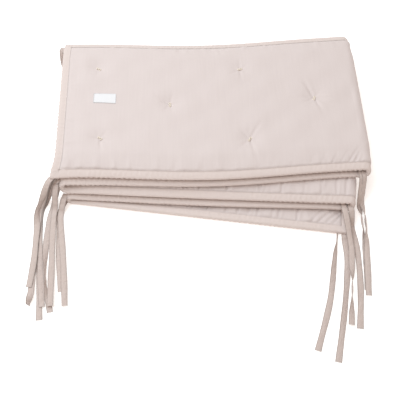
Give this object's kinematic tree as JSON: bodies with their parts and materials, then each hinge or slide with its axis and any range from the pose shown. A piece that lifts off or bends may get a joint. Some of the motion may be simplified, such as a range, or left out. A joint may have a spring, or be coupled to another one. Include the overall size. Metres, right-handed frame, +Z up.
{
  "type": "crib bumper",
  "caption": "Long quilted crib bumper with a bound edge, folded back and forth into a flat stack, its tie tapes lying in front of it.",
  "frame": {"origin": "on the resting surface, on a flat spot of the underside near the middle of the folded stack", "axes": "+Z up from the resting surface, +X along the folded sections towards the first fold, -Y towards the near edge with the tie tapes"},
  "size_m": [0.6627, 0.6926, 0.0846],
  "materials": {
    "panel_fabric": "matt plain-woven cotton over polyester wadding, pale warm grey",
    "binding_fabric": "matt cotton bias tape, a little warmer than the panel",
    "tie_fabric": "matt folded cotton tape, stitched along one edge",
    "label_fabric": "bare white woven patch, smoother than the panel"
  },
  "bodies": {
    "root": {"quilted_panel": "panel_fabric", "edge_binding": "binding_fabric", "label": "label_fabric", "tie_top_end_a": "tie_fabric", "tie_top_end_b": "tie_fabric", "tie_top_end_c": "tie_fabric", "tie_top_end_d": "tie_fabric", "tie_second_fold_a": "tie_fabric", "tie_second_fold_b": "tie_fabric", "tie_fourth_fold_a": "tie_fabric", "tie_fourth_fold_b": "tie_fabric", "tie_first_fold_a": "tie_fabric", "tie_first_fold_b": "tie_fabric", "tie_third_fold_a": "tie_fabric", "tie_third_fold_b": "tie_fabric", "tie_last_end_a": "tie_fabric", "tie_last_end_b": "tie_fabric", "tie_far_corner": "tie_fabric"}
  },
  "joints": []
}
